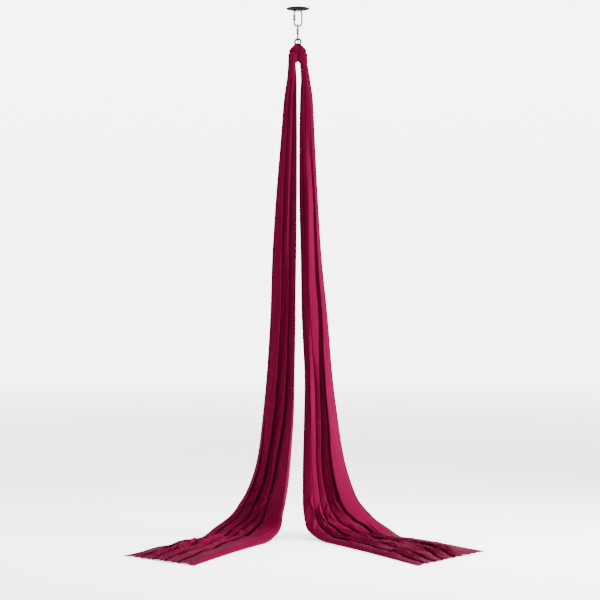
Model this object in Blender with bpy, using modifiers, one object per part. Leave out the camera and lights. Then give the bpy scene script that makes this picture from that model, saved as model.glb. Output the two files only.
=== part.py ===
"""Aerial silks hung from a ceiling plate: hanger eye, two screw-gate carabiners, figure-eight and one silk.

Metres, +Z up. The origin is the centre of the ceiling plate's top face, +X runs to the right across the
open upper carabiner and +Y runs away from the viewer. The silk's middle is hitched round the figure-eight's
neck, so its two tails hang side by side and lie on the floor, HANG_HEIGHT below the ceiling.
"""

import math

import bmesh
import bpy
from mathutils import Matrix, Vector

# Gaps, cutting and joining
GAP = 0.0003
RUNNING_GAP = 0.0004
CUT_OVERRUN = 0.002
MERGE_DISTANCE = 0.00001

# Ceiling plate
PLATE_RADIUS = 0.0725
PLATE_THICKNESS = 0.004
PLATE_EDGE_ROUND = 0.0008
BOLT_CIRCLE_RADIUS = 0.050
BOLT_HOLE_RADIUS = 0.0055
BOLT_COUNT = 4

# Hanger eye
EYE_ROD_RADIUS = 0.0045
EYE_HALF_WIDTH = 0.013
EYE_LEG_LENGTH = 0.0021
EYE_HEADROOM = 0.0006

# Carabiners, the same forging twice
STOCK_RADIUS = 0.005
LINK_HEIGHT = 0.101
SPINE_OFFSET = 0.025
GATE_OFFSET = 0.022
TOP_SPINE_BEND = 0.023
TOP_GATE_BEND = 0.018
BOTTOM_SPINE_BEND = 0.022
BOTTOM_GATE_BEND = 0.014
HEEL_BEND = 0.006
HEEL_LENGTH = 0.0035
NOSE_DEPTH = 0.022
RIVET_RISE = 0.022

# Carabiner gate and its lock
BOSS_SWELL = 0.0002
BOSS_OVERHANG = 0.0005
RIVET_RADIUS = 0.00175
RIVET_HEAD_RADIUS = 0.003
RIVET_HEAD_THICKNESS = 0.0008
TANG_STEP = 0.0004
TANG_THICKNESS = 0.0034
TANG_SINK = 0.003
TANG_SLOT_CLEARANCE = 0.0014
HOOK_STEM_WIDTH = 0.003
HOOK_STEM_OFFSET = 0.0006
HOOK_TOE_REACH = 0.0026
HOOK_TOE_THICKNESS = 0.0026
HOOK_LENGTH = 0.009
HOOK_CLEARANCE = 0.0009
LATCH_PIN_RADIUS = 0.0012
LATCH_PIN_RECESS = 0.0004
LATCH_PIN_OFFSET = 0.001
LATCH_PIN_LIFT = 0.0006
SLEEVE_LENGTH = 0.031
SLEEVE_HOOK_CLEARANCE = 0.0012
SLEEVE_BAND_WALL = 0.0024
SLEEVE_WAIST_WALL = 0.0012
SLEEVE_BAND_LENGTH = 0.0095
SLEEVE_CHAMFER = 0.0009
SPRING_BORE_RADIUS = 0.0023
SPRING_BORE_DEPTH = 0.018
PLUNGER_RADIUS = 0.0019
PLUNGER_LENGTH = 0.0045
SPRING_WIRE_RADIUS = 0.00035
SPRING_TURNS = 6

# Figure-eight
SMALL_RING_RADIUS = 0.01875
SMALL_RING_STOCK = 0.00575
LARGE_RING_RADIUS = 0.034
LARGE_RING_STOCK = 0.006
NECK_LENGTH = 0.019
NECK_WIDTH = 0.020
NECK_EDGE_ROUND = 0.003
NECK_OVERRUN = 0.002

# Silk hitch
BAND_THICKNESS = 0.019
WRAP_CLEARANCE = 0.0024
BAND_WIDTH = 0.039
BIGHT_WIDTH = 0.048
BIGHT_RISE = 0.042
SHOULDER_ANGLE = 40.0
STRAND_IN_RING_WIDTH = 0.021
STRAND_PARTING = 0.0033
STRAND_WIDTH = 0.047
STRAND_DEPTH = 0.034
STRAND_OFFSET = 0.036
STRAND_END_DROP = 0.047
STRAND_LIFT = 0.013
LIP_SHARE = 0.42
FRONT_CORNER_SHARE = 0.5
FRONT_CORNER_PLACE_LEAN = 3.0
FRONT_CORNER_FACE_LEAN = 2.0

# Silk tails
HANG_HEIGHT = 3.300
LEFT_REACH = 1.02
LEFT_FORWARD_REACH = 0.94
RIGHT_REACH = 1.11
RIGHT_FORWARD_REACH = 0.94
CLOTH_DEPTH = 0.085

# Fineness of the round shapes
PLATE_SIDES = 64
ROD_SIDES = 24
PIN_SIDES = 16
LARGE_RING_ROUNDS = 40
SMALL_RING_ROUNDS = 32
RING_SIDES = 12
PLATE_EDGE_SEGMENTS = 2
NECK_EDGE_SEGMENTS = 3
TUBE_SIDES_RESOLUTION = 4
SPRING_SIDES_RESOLUTION = 1
SPRING_STEPS_PER_TURN = 8
BEND_STEPS = 6
SMOOTH_ANGLE = 35.0
SPRING_SMOOTH_ANGLE = 60.0
CLOTH_SMOOTH_ANGLE = 80.0
CLOTH_POINTS = 28
CLOTH_FOLDS = 7
HITCH_FOLD_SHARE = 0.10
TAIL_FOLD_SHARE = 0.30
FOLD_GROWTH_SHARE = 0.3

# The gate's hinge, sized from the carabiner's stock and placed from its foot
RIVET_DEPTH = LINK_HEIGHT - RIVET_RISE
BOSS_RADIUS = STOCK_RADIUS + BOSS_SWELL
BOSS_LENGTH = 2 * (STOCK_RADIUS + BOSS_OVERHANG)
TANG_RADIUS = STOCK_RADIUS - TANG_STEP

# Heights of the links, worked out from the pieces that carry them
UPPER_TOP_Z = -(PLATE_THICKNESS + EYE_HEADROOM + STOCK_RADIUS)
EYE_BOTTOM_Z = UPPER_TOP_Z - STOCK_RADIUS - GAP - EYE_ROD_RADIUS
LOWER_TOP_Z = UPPER_TOP_Z - LINK_HEIGHT + STOCK_RADIUS + GAP + STOCK_RADIUS
SMALL_RING_TOP_Z = LOWER_TOP_Z - LINK_HEIGHT + STOCK_RADIUS + GAP + SMALL_RING_STOCK
SMALL_RING_Z = SMALL_RING_TOP_Z - SMALL_RING_RADIUS
SMALL_RING_FOOT_Z = SMALL_RING_Z - SMALL_RING_RADIUS - SMALL_RING_STOCK
LARGE_RING_HEAD_Z = SMALL_RING_FOOT_Z - NECK_LENGTH
LARGE_RING_Z = LARGE_RING_HEAD_Z - LARGE_RING_STOCK - LARGE_RING_RADIUS
STRAND_END_Z = LARGE_RING_Z - STRAND_END_DROP
TAIL_TOP_Z = STRAND_END_Z - GAP
TAIL_FALL = HANG_HEIGHT + TAIL_TOP_Z
STRAND_FRONT_Y = -(LARGE_RING_STOCK + GAP + STRAND_DEPTH / 2)

# Each row is one place down a tail. Its first three columns are the inner edge and the next three the outer
# edge: across as a share of the tail's reach, forward as a share of its forward run, down as a share of its
# fall. The last column is the gathered cloth's depth as a share of CLOTH_DEPTH.
LEFT_TAIL_SHARES = (
    (0.012, 0.025, 0.036, 0.066, 0.025, 0.036, 0.50),
    (0.011, 0.022, 0.078, 0.084, 0.022, 0.078, 0.56),
    (0.005, 0.018, 0.161, 0.103, 0.018, 0.161, 0.64),
    (0.005, 0.013, 0.287, 0.133, 0.013, 0.287, 0.72),
    (0.008, 0.008, 0.413, 0.157, 0.004, 0.413, 0.80),
    (0.012, 0.004, 0.539, 0.170, -0.008, 0.539, 0.88),
    (0.018, 0.000, 0.664, 0.194, -0.025, 0.664, 0.94),
    (0.024, -0.004, 0.748, 0.218, -0.045, 0.748, 1.00),
    (0.041, -0.006, 0.832, 0.249, -0.075, 0.830, 1.00),
    (0.058, -0.006, 0.895, 0.290, -0.110, 0.885, 0.92),
    (0.083, -0.004, 0.945, 0.350, -0.150, 0.930, 0.80),
    (0.108, 0.008, 0.976, 0.425, -0.180, 0.962, 0.62),
    (0.140, 0.050, 0.992, 0.515, -0.160, 0.982, 0.50),
    (0.200, 0.160, 1.000, 0.610, -0.030, 1.000, 0.40),
    (0.325, 0.410, 1.000, 0.745, 0.190, 1.000, 0.35),
    (0.450, 0.700, 1.000, 0.880, 0.430, 1.000, 0.30),
    (0.569, 0.997, 1.000, 1.000, 0.630, 1.000, 0.20),
)
RIGHT_TAIL_SHARES = (
    (0.017, 0.025, 0.036, 0.069, 0.025, 0.036, 0.50),
    (0.012, 0.022, 0.078, 0.085, 0.022, 0.078, 0.56),
    (0.008, 0.018, 0.161, 0.096, 0.018, 0.161, 0.64),
    (0.008, 0.013, 0.287, 0.113, 0.013, 0.287, 0.72),
    (0.016, 0.008, 0.413, 0.135, 0.004, 0.413, 0.80),
    (0.022, 0.004, 0.539, 0.169, -0.008, 0.539, 0.88),
    (0.038, 0.000, 0.664, 0.197, -0.025, 0.664, 0.94),
    (0.036, -0.004, 0.748, 0.225, -0.045, 0.748, 1.00),
    (0.031, -0.010, 0.832, 0.259, -0.075, 0.832, 1.00),
    (0.028, -0.020, 0.895, 0.300, -0.105, 0.890, 0.92),
    (0.030, -0.035, 0.945, 0.350, -0.140, 0.934, 0.80),
    (0.045, -0.040, 0.976, 0.425, -0.170, 0.964, 0.62),
    (0.085, 0.000, 0.992, 0.510, -0.150, 0.982, 0.50),
    (0.160, 0.120, 1.000, 0.610, -0.050, 1.000, 0.40),
    (0.310, 0.390, 1.000, 0.760, 0.090, 1.000, 0.35),
    (0.460, 0.690, 1.000, 0.885, 0.280, 1.000, 0.28),
    (0.607, 0.997, 1.000, 1.000, 0.450, 1.000, 0.16),
)
HANGING_ROWS = 10
HANGING_STEPS = 2
FLOOR_STEPS = 3
HITCH_STEPS = 2

# Finishes: colour, roughness, metallic
BLACK_COAT = (0.012, 0.010, 0.014), 0.38, 0.0
BLACK_ANODISED = (0.010, 0.009, 0.010), 0.30, 0.6
POLISHED_STEEL = (0.32, 0.30, 0.34), 0.28, 1.0
SPRING_STEEL = (0.45, 0.44, 0.43), 0.32, 1.0
WINE_SILK = (0.235, 0.008, 0.052), 0.42, 0.0


def clear_scene():
    for old in list(bpy.data.objects):
        bpy.data.objects.remove(old, do_unlink=True)


def new_collection(name):
    group = bpy.data.collections.new(name)
    bpy.context.scene.collection.children.link(group)
    return group


def finish_material(obj, finish):
    colour, roughness, metallic = finish
    material = bpy.data.materials.new(obj.name + "_finish")
    material.use_nodes = True
    shader = material.node_tree.nodes["Principled BSDF"]
    shader.inputs["Base Color"].default_value = (*colour, 1.0)
    shader.inputs["Roughness"].default_value = roughness
    shader.inputs["Metallic"].default_value = metallic
    obj.data.materials.append(material)


def place_object(obj, group, parent=None):
    for holder in list(obj.users_collection):
        holder.objects.unlink(obj)
    group.objects.link(obj)
    obj.parent = parent


def new_mesh_object(name, shape, group, parent=None):
    mesh = bpy.data.meshes.new(name)
    shape.to_mesh(mesh)
    shape.free()
    obj = bpy.data.objects.new(name, mesh)
    place_object(obj, group, parent)
    return obj


def new_empty(name, location, turn, group, parent=None):
    empty = bpy.data.objects.new(name, None)
    empty.location = location
    empty.rotation_euler.z = turn
    place_object(empty, group, parent)
    return empty


def smooth(obj, angle=SMOOTH_ANGLE):
    obj.data.shade_smooth()
    obj.data.set_sharp_from_angle(angle=math.radians(angle))


def round_bar(name, radius, length, centre, axis, group, parent=None, sides=ROD_SIDES):
    """A cylinder about the given axis, "X", "Y" or "Z"."""
    shape = bmesh.new()
    bmesh.ops.create_cone(shape, cap_ends=True, segments=sides, radius1=radius, radius2=radius, depth=length)
    turns = {"X": Matrix.Rotation(math.pi / 2, 3, "Y"), "Y": Matrix.Rotation(math.pi / 2, 3, "X")}
    if axis in turns:
        bmesh.ops.rotate(shape, verts=shape.verts, matrix=turns[axis])
    bmesh.ops.translate(shape, verts=shape.verts, vec=Vector(centre))
    return new_mesh_object(name, shape, group, parent)


def block(name, low, high, group, parent=None):
    """A box between its lowest and highest corners."""
    low, high = Vector(low), Vector(high)
    shape = bmesh.new()
    bmesh.ops.create_cube(shape, size=1.0)
    bmesh.ops.scale(shape, verts=shape.verts, vec=high - low)
    bmesh.ops.translate(shape, verts=shape.verts, vec=(low + high) / 2)
    return new_mesh_object(name, shape, group, parent)


def tube(name, points, radius, resolution, group, parent=None):
    curve = bpy.data.curves.new(name, "CURVE")
    curve.dimensions = "3D"
    curve.bevel_depth = radius
    curve.bevel_resolution = resolution
    curve.use_fill_caps = True
    spline = curve.splines.new("POLY")
    spline.points.add(len(points) - 1)
    for spot, point in zip(spline.points, points):
        spot.co = (*point, 1.0)
    obj = bpy.data.objects.new(name, curve)
    place_object(obj, group, parent)
    return obj


def flat_outline(name, outline, thickness, group, parent=None):
    """A flat plate whose outline lies in the XZ plane, with half its thickness on each side."""
    curve = bpy.data.curves.new(name, "CURVE")
    curve.dimensions = "2D"
    curve.fill_mode = "BOTH"
    curve.extrude = thickness / 2
    spline = curve.splines.new("POLY")
    spline.use_cyclic_u = True
    spline.points.add(len(outline) - 1)
    for spot, (x, z) in zip(spline.points, outline):
        spot.co = (x, z, 0.0, 1.0)
    obj = bpy.data.objects.new(name, curve)
    obj.rotation_euler.x = math.pi / 2
    place_object(obj, group, parent)
    return obj


def turned(name, profile, sides, group, parent=None):
    """A turned piece: its outer profile runs from top to bottom as (radius, z), then back up its bore."""
    shape = bmesh.new()
    spots = [shape.verts.new((radius, 0.0, z)) for radius, z in profile]
    for first, second in zip(spots, spots[1:] + spots[:1]):
        shape.edges.new((first, second))
    obj = new_mesh_object(name, shape, group, parent)
    screw = obj.modifiers.new("turn", "SCREW")
    screw.axis = "Z"
    screw.steps = sides
    screw.render_steps = sides
    screw.use_merge_vertices = True
    screw.merge_threshold = MERGE_DISTANCE
    return obj


def curve_to_mesh(obj):
    """Replaces a curve object by a closed mesh object of the same name and place."""
    bpy.context.view_layer.update()
    seen = obj.evaluated_get(bpy.context.evaluated_depsgraph_get())
    mesh = bpy.data.meshes.new_from_object(seen)
    shape = bmesh.new()
    shape.from_mesh(mesh)
    bmesh.ops.remove_doubles(shape, verts=shape.verts, dist=MERGE_DISTANCE)
    bmesh.ops.recalc_face_normals(shape, faces=shape.faces)
    shape.to_mesh(mesh)
    shape.free()
    name, group, parent = obj.name, obj.users_collection[0], obj.parent
    matrix = obj.matrix_world.copy()
    bpy.data.objects.remove(obj, do_unlink=True)
    solid = bpy.data.objects.new(name, mesh)
    place_object(solid, group, parent)
    solid.matrix_world = matrix
    return solid


def boolean(target, other, operation):
    step = target.modifiers.new(operation.lower(), "BOOLEAN")
    step.operation = operation
    step.solver = "EXACT"
    step.object = other
    other.hide_render = True
    other.display_type = "WIRE"


def rounded_path(start, corners, end):
    """Points of a bent rod in the XZ plane: straight runs, and at each corner an arc of its own radius."""
    spots = [Vector((start[0], 0.0, start[1]))]
    marks = [start] + [corner[:2] for corner in corners] + [end]
    for before, corner, after in zip(marks, corners, marks[2:]):
        centre = Vector(corner[:2])
        back = (Vector(before) - centre).normalized()
        ahead = (Vector(after) - centre).normalized()
        half = back.angle(ahead) / 2
        pivot = centre + (back + ahead).normalized() * (corner[2] / math.sin(half))
        first = centre + back * (corner[2] / math.tan(half)) - pivot
        sweep = first.angle_signed(centre + ahead * (corner[2] / math.tan(half)) - pivot)
        for step in range(BEND_STEPS + 1):
            turn = Matrix.Rotation(-sweep * step / BEND_STEPS, 2)
            spot = pivot + turn @ first
            spots.append(Vector((spot.x, 0.0, spot.y)))
    spots.append(Vector((end[0], 0.0, end[1])))
    return spots


def make_ceiling_plate(parts, cutters):
    plate = round_bar(
        "ceiling_plate", PLATE_RADIUS, PLATE_THICKNESS, (0.0, 0.0, -PLATE_THICKNESS / 2), "Z", parts,
        sides=PLATE_SIDES,
    )
    edge = plate.modifiers.new("edge", "BEVEL")
    edge.width = PLATE_EDGE_ROUND
    edge.segments = PLATE_EDGE_SEGMENTS
    edge.limit_method = "ANGLE"
    for number in range(BOLT_COUNT):
        angle = math.tau * (number + 0.5) / BOLT_COUNT
        spot = Vector((math.cos(angle), math.sin(angle), 0.0)) * BOLT_CIRCLE_RADIUS
        spot.z = -PLATE_THICKNESS / 2
        hole = round_bar(
            "bolt_hole_" + str(number), BOLT_HOLE_RADIUS, PLATE_THICKNESS + CUT_OVERRUN, spot, "Z", cutters
        )
        boolean(plate, hole, "DIFFERENCE")
    smooth(plate)
    finish_material(plate, BLACK_COAT)


def make_hanger_eye(parts):
    """Two short legs from the plate and one bend between them, as deep as the carabiner's stock needs."""
    foot_z = -PLATE_THICKNESS - GAP
    bend_z = foot_z - EYE_LEG_LENGTH
    bend_depth = bend_z - EYE_BOTTOM_Z
    points = [Vector((0.0, -EYE_HALF_WIDTH, foot_z))]
    steps = 2 * BEND_STEPS
    for step in range(steps + 1):
        angle = math.pi + math.pi * step / steps
        aside, above = math.cos(angle) * EYE_HALF_WIDTH, math.sin(angle) * bend_depth
        points.append(Vector((0.0, aside, bend_z + above)))
    points.append(Vector((0.0, EYE_HALF_WIDTH, foot_z)))
    eye = curve_to_mesh(tube("hanger_eye", points, EYE_ROD_RADIUS, TUBE_SIDES_RESOLUTION, parts))
    smooth(eye)
    finish_material(eye, POLISHED_STEEL)


def hook_outline():
    """The hook under the nose, in the carabiner's XZ plane: a stem with a toe that holds the latch pin."""
    stem_left = -GATE_OFFSET - HOOK_STEM_OFFSET - HOOK_STEM_WIDTH
    stem_right = stem_left + HOOK_STEM_WIDTH
    toe_right = -GATE_OFFSET + HOOK_TOE_REACH
    head = -NOSE_DEPTH + TANG_SINK
    foot = -NOSE_DEPTH - HOOK_LENGTH
    return [
        (stem_left, head),
        (stem_left, foot),
        (toe_right, foot),
        (toe_right, foot + HOOK_TOE_THICKNESS),
        (stem_right, foot + HOOK_TOE_THICKNESS),
        (stem_right, head),
    ]


def tang_outline():
    """The tongue that carries the gate's rivet: round at the top, sunk into the heel at its foot."""
    foot = -(RIVET_DEPTH + BOSS_RADIUS + GAP + TANG_SINK)
    outline = [(-GATE_OFFSET - TANG_RADIUS, foot), (-GATE_OFFSET + TANG_RADIUS, foot)]
    for step in range(2 * BEND_STEPS + 1):
        angle = math.pi * step / (2 * BEND_STEPS)
        outline.append((
            -GATE_OFFSET + math.cos(angle) * TANG_RADIUS,
            -RIVET_DEPTH + math.sin(angle) * TANG_RADIUS,
        ))
    return outline


def make_carabiner_body(prefix, link, parts, cutters):
    heel_z = -(RIVET_DEPTH + BOSS_RADIUS + GAP)
    corner_z = heel_z - HEEL_LENGTH
    slope_run = LINK_HEIGHT + corner_z
    path = rounded_path(
        (-GATE_OFFSET, heel_z),
        [
            (-GATE_OFFSET, corner_z, HEEL_BEND),
            (slope_run - GATE_OFFSET, -LINK_HEIGHT, BOTTOM_GATE_BEND),
            (SPINE_OFFSET, -LINK_HEIGHT, BOTTOM_SPINE_BEND),
            (SPINE_OFFSET, 0.0, TOP_SPINE_BEND),
            (-GATE_OFFSET, 0.0, TOP_GATE_BEND),
        ],
        (-GATE_OFFSET, -NOSE_DEPTH),
    )
    rod = tube(prefix + "carabiner_body", path, STOCK_RADIUS, TUBE_SIDES_RESOLUTION, parts, link)
    body = curve_to_mesh(rod)
    tang = curve_to_mesh(flat_outline(prefix + "tang", tang_outline(), TANG_THICKNESS, cutters, link))
    hook = curve_to_mesh(flat_outline(prefix + "hook", hook_outline(), TANG_THICKNESS, cutters, link))
    hole = round_bar(
        prefix + "rivet_bore", RIVET_RADIUS + RUNNING_GAP, TANG_THICKNESS + CUT_OVERRUN,
        (-GATE_OFFSET, 0.0, -RIVET_DEPTH), "Y", cutters, link, sides=PIN_SIDES,
    )
    boolean(body, tang, "UNION")
    boolean(body, hook, "UNION")
    boolean(body, hole, "DIFFERENCE")
    smooth(body)
    finish_material(body, POLISHED_STEEL)


def make_gate(prefix, hinge, parts, cutters):
    """The gate with its origin on the rivet: a bar, a round boss at the rivet and a slot at each end."""
    top = RIVET_DEPTH - NOSE_DEPTH - RUNNING_GAP
    slot = TANG_THICKNESS + 2 * RUNNING_GAP
    tang_slot_top = TANG_RADIUS + TANG_SLOT_CLEARANCE
    hook_slot_foot = RIVET_DEPTH - NOSE_DEPTH - HOOK_LENGTH - HOOK_CLEARANCE
    wide = 2 * STOCK_RADIUS
    gate = round_bar(prefix + "gate", STOCK_RADIUS, top, (0.0, 0.0, top / 2), "Z", parts, hinge)
    boss = round_bar(prefix + "gate_boss", BOSS_RADIUS, BOSS_LENGTH, (0.0, 0.0, 0.0), "Y", cutters, hinge)
    boolean(gate, boss, "UNION")
    cuts = [
        block(
            prefix + "tang_slot", (-wide, -slot / 2, -wide), (wide, slot / 2, tang_slot_top), cutters, hinge,
        ),
        block(
            prefix + "hook_slot", (-wide, -slot / 2, hook_slot_foot), (wide, slot / 2, top + wide),
            cutters, hinge,
        ),
        round_bar(
            prefix + "gate_rivet_bore", RIVET_RADIUS + RUNNING_GAP, BOSS_LENGTH + CUT_OVERRUN,
            (0.0, 0.0, 0.0), "Y", cutters, hinge, sides=PIN_SIDES,
        ),
        round_bar(
            prefix + "latch_bore", LATCH_PIN_RADIUS + GAP, wide + CUT_OVERRUN,
            (LATCH_PIN_OFFSET, 0.0, latch_pin_height()), "Y", cutters, hinge, sides=PIN_SIDES,
        ),
        round_bar(
            prefix + "spring_bore", SPRING_BORE_RADIUS, SPRING_BORE_DEPTH + STOCK_RADIUS,
            (0.0, 0.0, tang_slot_top + (SPRING_BORE_DEPTH - STOCK_RADIUS) / 2), "Z", cutters, hinge,
            sides=PIN_SIDES,
        ),
    ]
    for cut in cuts:
        boolean(gate, cut, "DIFFERENCE")
    smooth(gate)
    finish_material(gate, POLISHED_STEEL)
    return tang_slot_top + SPRING_BORE_DEPTH


def latch_pin_height():
    toe_top = RIVET_DEPTH - NOSE_DEPTH - HOOK_LENGTH + HOOK_TOE_THICKNESS
    return toe_top + LATCH_PIN_LIFT + LATCH_PIN_RADIUS


def make_gate_sleeve(prefix, hinge, parts):
    """The sleeve where it leaves the gate free: just under the hook, which it clears as the gate turns."""
    bore = STOCK_RADIUS + RUNNING_GAP
    band, waist = bore + SLEEVE_BAND_WALL, bore + SLEEVE_WAIST_WALL
    head = RIVET_DEPTH - NOSE_DEPTH - HOOK_LENGTH - SLEEVE_HOOK_CLEARANCE
    foot = head - SLEEVE_LENGTH
    profile = [
        (band - SLEEVE_CHAMFER, head),
        (band, head - SLEEVE_CHAMFER),
        (band, head - SLEEVE_BAND_LENGTH + SLEEVE_CHAMFER),
        (waist, head - SLEEVE_BAND_LENGTH),
        (waist, foot + SLEEVE_BAND_LENGTH),
        (band, foot + SLEEVE_BAND_LENGTH - SLEEVE_CHAMFER),
        (band, foot + SLEEVE_CHAMFER),
        (band - SLEEVE_CHAMFER, foot),
        (bore, foot),
        (bore, head),
    ]
    sleeve = turned(prefix + "gate_sleeve", profile, ROD_SIDES, parts, hinge)
    smooth(sleeve)
    finish_material(sleeve, POLISHED_STEEL)


def make_gate_pins(prefix, hinge, parts):
    head_y = BOSS_LENGTH / 2 + GAP
    reach = head_y + RIVET_HEAD_THICKNESS
    profile = [
        (0.0, reach),
        (RIVET_HEAD_RADIUS, reach),
        (RIVET_HEAD_RADIUS, head_y),
        (RIVET_RADIUS, head_y),
        (RIVET_RADIUS, -head_y),
        (RIVET_HEAD_RADIUS, -head_y),
        (RIVET_HEAD_RADIUS, -reach),
        (0.0, -reach),
    ]
    rivet = turned(prefix + "gate_rivet", profile, PIN_SIDES, parts, hinge)
    rivet.rotation_euler.x = math.pi / 2
    smooth(rivet)
    finish_material(rivet, SPRING_STEEL)
    pin = round_bar(
        prefix + "gate_latch_pin", LATCH_PIN_RADIUS, 2 * (STOCK_RADIUS - LATCH_PIN_RECESS),
        (LATCH_PIN_OFFSET, 0.0, latch_pin_height()), "Y", parts, hinge, sides=PIN_SIDES,
    )
    smooth(pin)
    finish_material(pin, SPRING_STEEL)


def make_gate_return(prefix, hinge, bore_end, parts):
    """The plunger that bears on the tang and the coil spring behind it, both inside the gate's bore."""
    plunger_foot = TANG_RADIUS + GAP
    plunger_head = plunger_foot + PLUNGER_LENGTH
    plunger = round_bar(
        prefix + "gate_plunger", PLUNGER_RADIUS, PLUNGER_LENGTH,
        (0.0, 0.0, (plunger_foot + plunger_head) / 2), "Z", parts, hinge, sides=PIN_SIDES,
    )
    smooth(plunger)
    finish_material(plunger, SPRING_STEEL)
    coil_foot = plunger_head + GAP + SPRING_WIRE_RADIUS
    coil_head = bore_end - GAP - SPRING_WIRE_RADIUS
    coil_radius = PLUNGER_RADIUS - SPRING_WIRE_RADIUS
    steps = SPRING_TURNS * SPRING_STEPS_PER_TURN
    points = []
    for step in range(steps + 1):
        angle = math.tau * SPRING_TURNS * step / steps
        height = coil_foot + (coil_head - coil_foot) * step / steps
        points.append(Vector((math.cos(angle) * coil_radius, math.sin(angle) * coil_radius, height)))
    coil = tube(prefix + "gate_spring", points, SPRING_WIRE_RADIUS, SPRING_SIDES_RESOLUTION, parts, hinge)
    spring = curve_to_mesh(coil)
    smooth(spring, SPRING_SMOOTH_ANGLE)
    finish_material(spring, SPRING_STEEL)


def make_carabiner(prefix, top_z, turn, parts, cutters):
    """A screw-gate carabiner hung at its top stock's centre, with its gate hung at the rivet."""
    link = new_empty(prefix + "link_axis", (0.0, 0.0, top_z), turn, parts)
    hinge = new_empty(prefix + "gate_axis", (-GATE_OFFSET, 0.0, -RIVET_DEPTH), 0.0, parts, link)
    make_carabiner_body(prefix, link, parts, cutters)
    bore_end = make_gate(prefix, hinge, parts, cutters)
    make_gate_sleeve(prefix, hinge, parts)
    make_gate_pins(prefix, hinge, parts)
    make_gate_return(prefix, hinge, bore_end, parts)


def torus(name, radius, stock, rounds, sides, centre_z, group, parent):
    bpy.ops.mesh.primitive_torus_add(
        major_radius=radius, minor_radius=stock, major_segments=rounds, minor_segments=sides,
    )
    ring = bpy.context.object
    ring.name = name
    ring.data.transform(Matrix.Translation((0.0, 0.0, centre_z)) @ Matrix.Rotation(math.pi / 2, 4, "X"))
    place_object(ring, group, parent)
    return ring


def make_figure_eight(parts, cutters, axis):
    """The descender: heights here count from the small ring's top, where it swings on the lower carabiner."""
    small_z = SMALL_RING_Z - SMALL_RING_TOP_Z
    large_z = LARGE_RING_Z - SMALL_RING_TOP_Z
    eight = torus(
        "figure_eight", LARGE_RING_RADIUS, LARGE_RING_STOCK, LARGE_RING_ROUNDS, RING_SIDES, large_z,
        parts, axis,
    )
    small = torus(
        "small_ring", SMALL_RING_RADIUS, SMALL_RING_STOCK, SMALL_RING_ROUNDS, RING_SIDES, small_z,
        cutters, axis,
    )
    neck = block(
        "neck",
        (-NECK_WIDTH / 2, -SMALL_RING_STOCK, large_z + LARGE_RING_RADIUS - NECK_OVERRUN),
        (NECK_WIDTH / 2, SMALL_RING_STOCK, small_z - SMALL_RING_RADIUS + NECK_OVERRUN),
        cutters,
        axis,
    )
    edge = neck.modifiers.new("edge", "BEVEL")
    edge.width = NECK_EDGE_ROUND
    edge.segments = NECK_EDGE_SEGMENTS
    boolean(eight, neck, "UNION")
    boolean(eight, small, "UNION")
    smooth(eight)
    finish_material(eight, BLACK_ANODISED)


def cloth_ring(centre, across, depth, fold_share):
    """One closed section of gathered cloth: an oval of the two half sizes with its main folds drawn in."""
    ring = []
    for number in range(CLOTH_POINTS):
        angle = math.tau * number / CLOTH_POINTS
        drawn = 1.0 - fold_share * (1.0 - math.cos(CLOTH_FOLDS * angle)) / 2
        ring.append(centre + across * (math.cos(angle) * drawn) + depth * (math.sin(angle) * drawn))
    return ring


def through(values, step_counts):
    """Rows of numbers read along a smooth curve through the given rows."""
    before = [2 * a - b for a, b in zip(values[0], values[1])]
    after = [2 * a - b for a, b in zip(values[-1], values[-2])]
    rows = [before, *values, after]
    smooth_rows = []
    for index, steps in enumerate(step_counts):
        p0, p1, p2, p3 = rows[index : index + 4]
        for step in range(steps):
            t = step / steps
            smooth_rows.append([
                b + t * ((c - a) + t * ((2 * a - 5 * b + 4 * c - d) + t * (3 * (b - c) + d - a))) / 2
                for a, b, c, d in zip(p0, p1, p2, p3)
            ])
    smooth_rows.append(list(values[-1]))
    return smooth_rows


def loft(name, rings, group, parent):
    shape = bmesh.new()
    loops = [[shape.verts.new(spot) for spot in ring] for ring in rings]
    count = len(loops[0])
    for lower, upper in zip(loops, loops[1:]):
        for index in range(count):
            follow = (index + 1) % count
            shape.faces.new((lower[index], lower[follow], upper[follow], upper[index]))
    shape.faces.new(loops[0])
    shape.faces.new(loops[-1])
    bmesh.ops.recalc_face_normals(shape, faces=shape.faces)
    obj = new_mesh_object(name, shape, group, parent)
    smooth(obj, CLOTH_SMOOTH_ANGLE)
    return obj


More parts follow.
